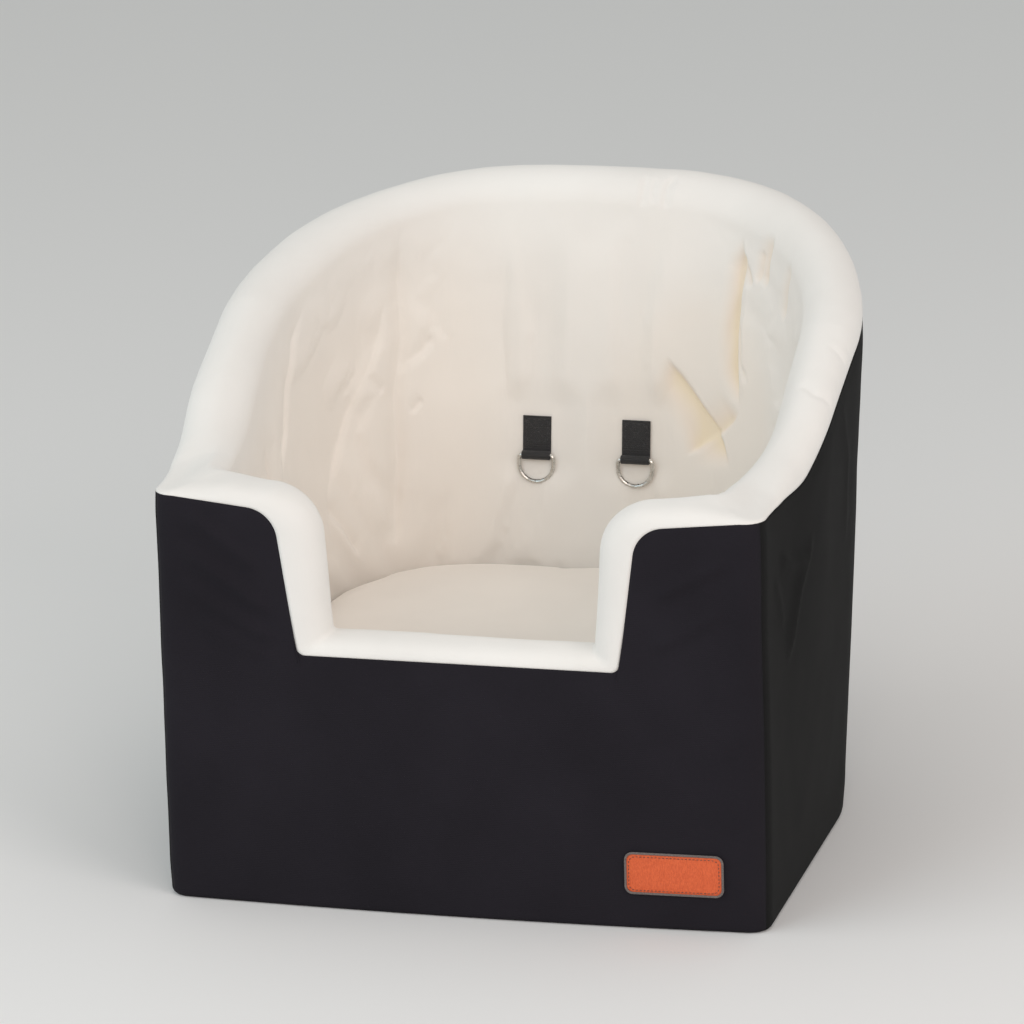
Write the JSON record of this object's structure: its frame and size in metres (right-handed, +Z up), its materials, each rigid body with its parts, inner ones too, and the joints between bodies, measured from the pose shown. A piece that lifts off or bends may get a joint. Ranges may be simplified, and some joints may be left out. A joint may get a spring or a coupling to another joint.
{
  "type": "dog car seat",
  "caption": "Soft bucket booster seat for a small dog: padded cream liner over foam walls in a dark zipped canvas cover, step-in notch and lift-out cushion.",
  "frame": {"origin": "middle of the footprint's width and depth, on the underside", "axes": "+X to the right of someone who faces the front, +Y to the back, +Z up; the step-in notch faces -Y"},
  "size_m": [0.546, 0.5276, 0.503],
  "materials": {
    "charcoal_canvas": "plain woven canvas, matt",
    "cream_fabric": "brushed microfibre over padding",
    "foam": "open-cell polyurethane foam",
    "black_webbing": "woven webbing",
    "zip_tape": "woven tape",
    "zip_plastic": "moulded",
    "nickel": "nickel plated",
    "woven_patch": "plain woven patch"
  },
  "bodies": {
    "seat": {"base_cover": "charcoal_canvas", "front_cover": "charcoal_canvas", "front_foam": "foam", "front_liner": "cream_fabric", "front_rim_fill": "foam", "label_patch": "woven_patch", "left_arm_liner": "cream_fabric", "left_belt_loop": "black_webbing", "left_cover": "charcoal_canvas", "left_foam": "foam", "left_liner": "cream_fabric", "left_rear_liner": "cream_fabric", "left_rim_fill": "foam", "left_ring_tab": "black_webbing", "left_zip_tape": "zip_tape", "left_zip_teeth": "zip_plastic", "liner_floor": "cream_fabric", "right_arm_liner": "cream_fabric", "right_belt_loop": "black_webbing", "right_cover": "charcoal_canvas", "right_foam": "foam", "right_liner": "cream_fabric", "right_rear_liner": "cream_fabric", "right_rim_fill": "foam", "right_ring_tab": "black_webbing", "right_zip_tape": "zip_tape", "right_zip_teeth": "zip_plastic", "riser_foam": "foam", "zip_bottom_stop": "nickel", "zip_top_stop": "nickel"},
    "cushion": {"cushion_case_base": "cream_fabric", "cushion_case_top": "cream_fabric", "cushion_fill": "foam"},
    "slider": {"zip_slider": "nickel"},
    "pull": {"zip_pull": "nickel"},
    "left_ring": {"left_tether_ring": "nickel"},
    "right_ring": {"right_tether_ring": "nickel"}
  },
  "joints": [
    {"name": "cushion_lift", "type": "slide", "parent": "seat", "child": "cushion", "axis": [0, 0, 1], "range_m": [0, 0.38]},
    {"name": "slider_travel", "type": "slide", "parent": "seat", "child": "slider", "axis": [0, -0.1386, -0.9903], "range_m": [0, 0.4072]},
    {"name": "pull_swing", "type": "hinge", "parent": "slider", "child": "pull", "pos_m": [0, 0.29487, 0.44526], "axis": [1, 0, 0], "range_deg": [-7, 160]},
    {"name": "left_ring_swing", "type": "hinge", "parent": "seat", "child": "left_ring", "pos_m": [0.044, 0.21036, 0.26004], "axis": [-1, 0, 0], "range_deg": [0, 160]},
    {"name": "right_ring_swing", "type": "hinge", "parent": "seat", "child": "right_ring", "pos_m": [-0.044, 0.21036, 0.26004], "axis": [-1, 0, 0], "range_deg": [0, 160]}
  ]
}
